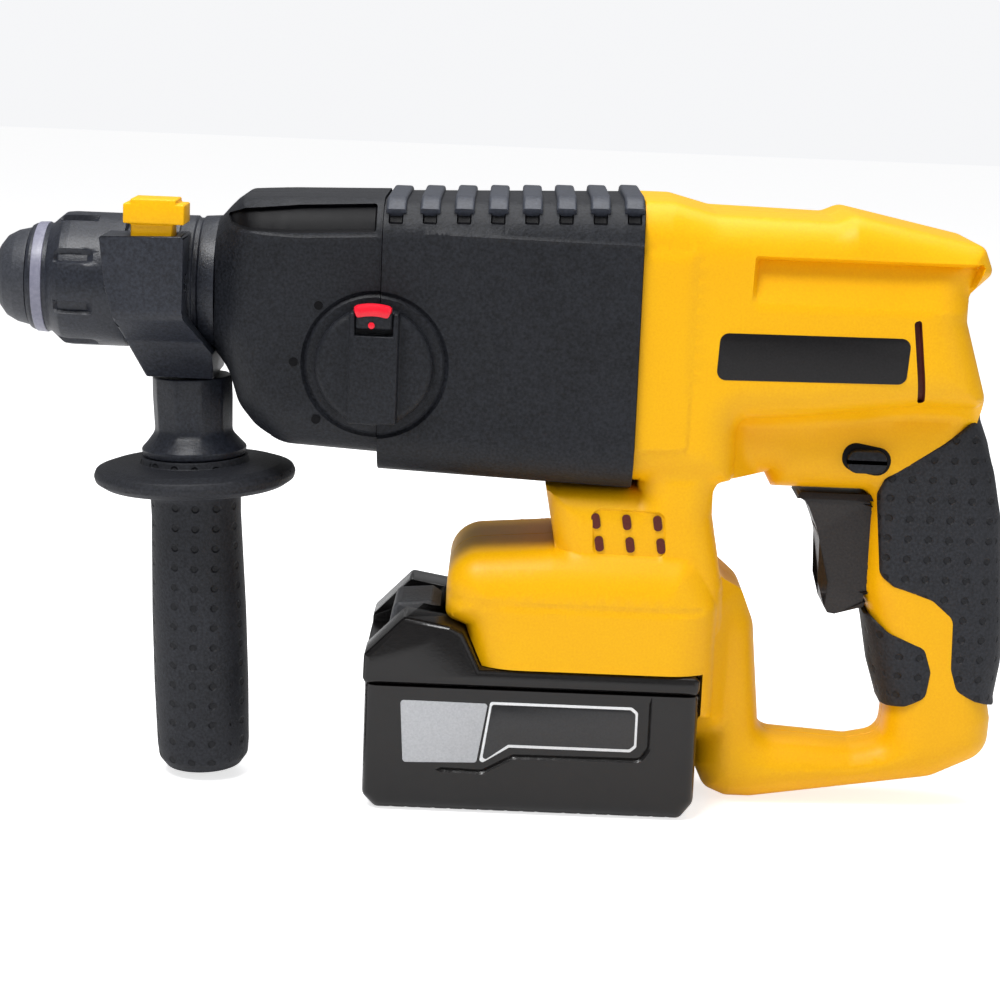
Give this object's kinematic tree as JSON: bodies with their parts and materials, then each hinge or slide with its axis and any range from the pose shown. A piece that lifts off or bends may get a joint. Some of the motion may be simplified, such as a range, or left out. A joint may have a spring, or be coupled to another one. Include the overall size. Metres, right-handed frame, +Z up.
{
  "type": "cordless rotary hammer",
  "caption": "Pistol-shaped cordless rotary hammer with a rear D-handle, quick-release chuck, swivelling side handle, mode dial and slide-on battery.",
  "frame": {"origin": "centre of the battery's flat bottom face", "axes": "+X towards the rear hand grip, with the chuck pointing to -X; +Y to the tool's right-hand side; +Z up"},
  "size_m": [0.3524, 0.0833, 0.2119],
  "materials": {
    "yellow_plastic": "satin moulded nylon",
    "black_plastic": "finely sparked moulding",
    "grip_rubber": "soft, dimpled",
    "battery_plastic": "smooth gloss",
    "label_film": "printed film",
    "red_plastic": "smooth gloss",
    "ground_steel": "ground and hardened",
    "blackened_steel": "oxide black",
    "cast_aluminium": "die cast",
    "copper_winding": "enamelled winding",
    "circuit_board": "solder mask",
    "cell_wrap": "shrink wrap"
  },
  "bodies": {
    "tool_body": {"housing_left": "yellow_plastic", "housing_right": "yellow_plastic", "ribbed_shroud": "black_plastic", "gear_cover": "black_plastic", "nose_collar": "cast_aluminium", "rear_grip_overmould": "grip_rubber", "front_grip_overmould": "grip_rubber", "badge_plate": "black_plastic", "gearbox_frame": "cast_aluminium", "spindle_bearing": "ground_steel", "shaft_front_bearing": "ground_steel", "shaft_rear_bearing": "ground_steel", "motor_front_bearing": "ground_steel", "motor_rear_bearing": "ground_steel", "motor_can": "blackened_steel", "brush_holder": "black_plastic", "switch_body": "black_plastic", "controller_board": "circuit_board", "terminal_block": "black_plastic", "motor_lead": "red_plastic", "housing_screw_1": "blackened_steel", "housing_screw_2": "blackened_steel", "housing_screw_3": "blackened_steel", "housing_screw_4": "blackened_steel", "housing_screw_5": "blackened_steel", "housing_screw_6": "blackened_steel"},
    "spindle": {"spindle": "ground_steel", "spindle_gear": "ground_steel", "dust_cap": "grip_rubber", "locking_ball_upper": "ground_steel", "locking_ball_lower": "ground_steel", "sleeve_spring": "ground_steel"},
    "chuck_sleeve": {"locking_sleeve": "black_plastic", "retaining_ring": "ground_steel"},
    "rotor": {"armature": "copper_winding", "cooling_fan": "black_plastic"},
    "countershaft": {"intermediate_shaft": "ground_steel", "shaft_gear": "ground_steel", "spindle_drive_gear": "ground_steel", "wobble_drum": "ground_steel"},
    "wobble": {"wobble_ring": "ground_steel"},
    "piston": {"piston": "ground_steel"},
    "striker": {"striker": "ground_steel"},
    "impact_bolt": {"impact_bolt": "ground_steel"},
    "mode_dial": {"mode_dial": "black_plastic"},
    "dial_release": {"dial_release": "red_plastic"},
    "trigger": {"trigger": "black_plastic"},
    "direction_button": {"direction_button": "black_plastic"},
    "battery": {"battery_case": "battery_plastic", "battery_top": "battery_plastic", "battery_label": "label_film", "cell_row_lower": "cell_wrap", "cell_row_upper": "cell_wrap"},
    "battery_latch": {"battery_latch": "black_plastic"},
    "side_handle": {"clamp_saddle": "black_plastic", "clamp_band": "ground_steel", "clamp_bolt": "ground_steel", "handle_neck": "black_plastic"},
    "side_grip": {"side_grip": "grip_rubber"},
    "depth_stop_button": {"depth_stop_button": "yellow_plastic"}
  },
  "joints": [
    {"name": "spindle_spin", "type": "hinge", "parent": "tool_body", "child": "spindle", "pos_m": [-0.1, 0, 0.1745], "axis": [1, 0, 0], "continuous": true},
    {"name": "sleeve_slide", "type": "slide", "parent": "spindle", "child": "chuck_sleeve", "axis": [1, 0, 0], "range_m": [0, 0.007], "stiffness_N_per_m": 900, "springref_m": -0.003, "deforming": ["sleeve_spring"]},
    {"name": "rotor_spin", "type": "hinge", "parent": "tool_body", "child": "rotor", "pos_m": [0.07, 0, 0.1675], "axis": [1, 0, 0], "continuous": true},
    {"name": "shaft_spin", "type": "hinge", "parent": "tool_body", "child": "countershaft", "pos_m": [-0.01, 0, 0.1425], "axis": [1, 0, 0], "continuous": true},
    {"name": "wobble_swing", "type": "hinge", "parent": "tool_body", "child": "wobble", "pos_m": [-0.004, 0, 0.1425], "axis": [0, 1, 0], "range_deg": [-13, 13]},
    {"name": "piston_slide", "type": "slide", "parent": "tool_body", "child": "piston", "axis": [1, 0, 0], "range_m": [-0.00725, 0.00725]},
    {"name": "striker_slide", "type": "slide", "parent": "tool_body", "child": "striker", "axis": [1, 0, 0], "range_m": [-0.008, 0.008]},
    {"name": "impact_bolt_slide", "type": "slide", "parent": "tool_body", "child": "impact_bolt", "axis": [1, 0, 0], "range_m": [-0.002, 0]},
    {"name": "dial_turn", "type": "hinge", "parent": "tool_body", "child": "mode_dial", "pos_m": [-0.0578, 0, 0.1535], "axis": [0, 1, 0], "range_deg": [-90, 90]},
    {"name": "dial_release_press", "type": "slide", "parent": "mode_dial", "child": "dial_release", "axis": [0, 0, -1], "range_m": [0, 0.002], "stiffness_N_per_m": 300, "springref_m": -0.002},
    {"name": "trigger_pull", "type": "slide", "parent": "tool_body", "child": "trigger", "axis": [1, 0, 0], "range_m": [0, 0.007], "stiffness_N_per_m": 1200, "springref_m": -0.003},
    {"name": "direction_push", "type": "slide", "parent": "tool_body", "child": "direction_button", "axis": [0, 1, 0], "range_m": [-0.003, 0.003]},
    {"name": "battery_slide", "type": "slide", "parent": "tool_body", "child": "battery", "axis": [-1, 0, 0], "range_m": [0, 0.036]},
    {"name": "latch_press", "type": "slide", "parent": "battery", "child": "battery_latch", "axis": [0, 0, -1], "range_m": [0, 0.004], "stiffness_N_per_m": 500, "springref_m": -0.002},
    {"name": "handle_swing", "type": "hinge", "parent": "tool_body", "child": "side_handle", "pos_m": [-0.132, 0, 0.1745], "axis": [1, 0, 0], "range_deg": [-180, 180]},
    {"name": "grip_turn", "type": "hinge", "parent": "side_handle", "child": "side_grip", "pos_m": [-0.1228, 0, 0.1434], "axis": [-0.0445, 0, 0.999], "range_deg": [-360, 0]},
    {"name": "depth_stop_press", "type": "slide", "parent": "side_handle", "child": "depth_stop_button", "axis": [0, 0, -1], "range_m": [0, 0.003], "stiffness_N_per_m": 500, "springref_m": -0.002}
  ],
  "couplings": [
    {"joint": "shaft_spin", "follows": "rotor_spin", "ratio": -0.21951},
    {"joint": "spindle_spin", "follows": "rotor_spin", "ratio": 0.092683},
    {"joint": "wobble_swing", "follows": "piston_slide", "rad_per_m": 31.25}
  ]
}
